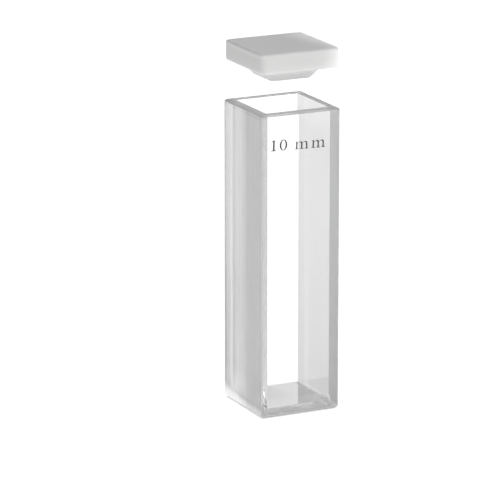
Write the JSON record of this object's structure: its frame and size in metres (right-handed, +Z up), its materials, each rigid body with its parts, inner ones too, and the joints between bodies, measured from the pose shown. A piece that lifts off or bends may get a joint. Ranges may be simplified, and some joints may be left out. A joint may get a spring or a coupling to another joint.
{
  "type": "cuvette",
  "caption": "Square clear cell with polished windows, ground side walls and a loose white cap with a short tapered plug.",
  "frame": {"origin": "centre of the cell's underside, on the surface it stands on", "axes": "+Z up along the cell; -Y is the front window's outward side and light passes along Y; +X runs across the windows to the right wall"},
  "size_m": [0.0126, 0.0126, 0.0538],
  "materials": {
    "polished_quartz": "optically polished fused quartz, with ground bevels",
    "ground_quartz": "fused quartz, finely ground on the outside and polished on the inside",
    "base_quartz": "fused quartz, polished inside and finely ground underneath",
    "white_cap": "milky white fluoropolymer with a waxy, satin surface"
  },
  "bodies": {
    "cell": {"front_window": "polished_quartz", "back_window": "polished_quartz", "left_wall": "ground_quartz", "right_wall": "ground_quartz", "base_plate": "base_quartz"},
    "cap": {"cap": "white_cap"}
  },
  "joints": [
    {"name": "cap_lift", "type": "slide", "parent": "cell", "child": "cap", "axis": [0, 0, 1], "range_m": [-0.00578, 0.004]}
  ]
}
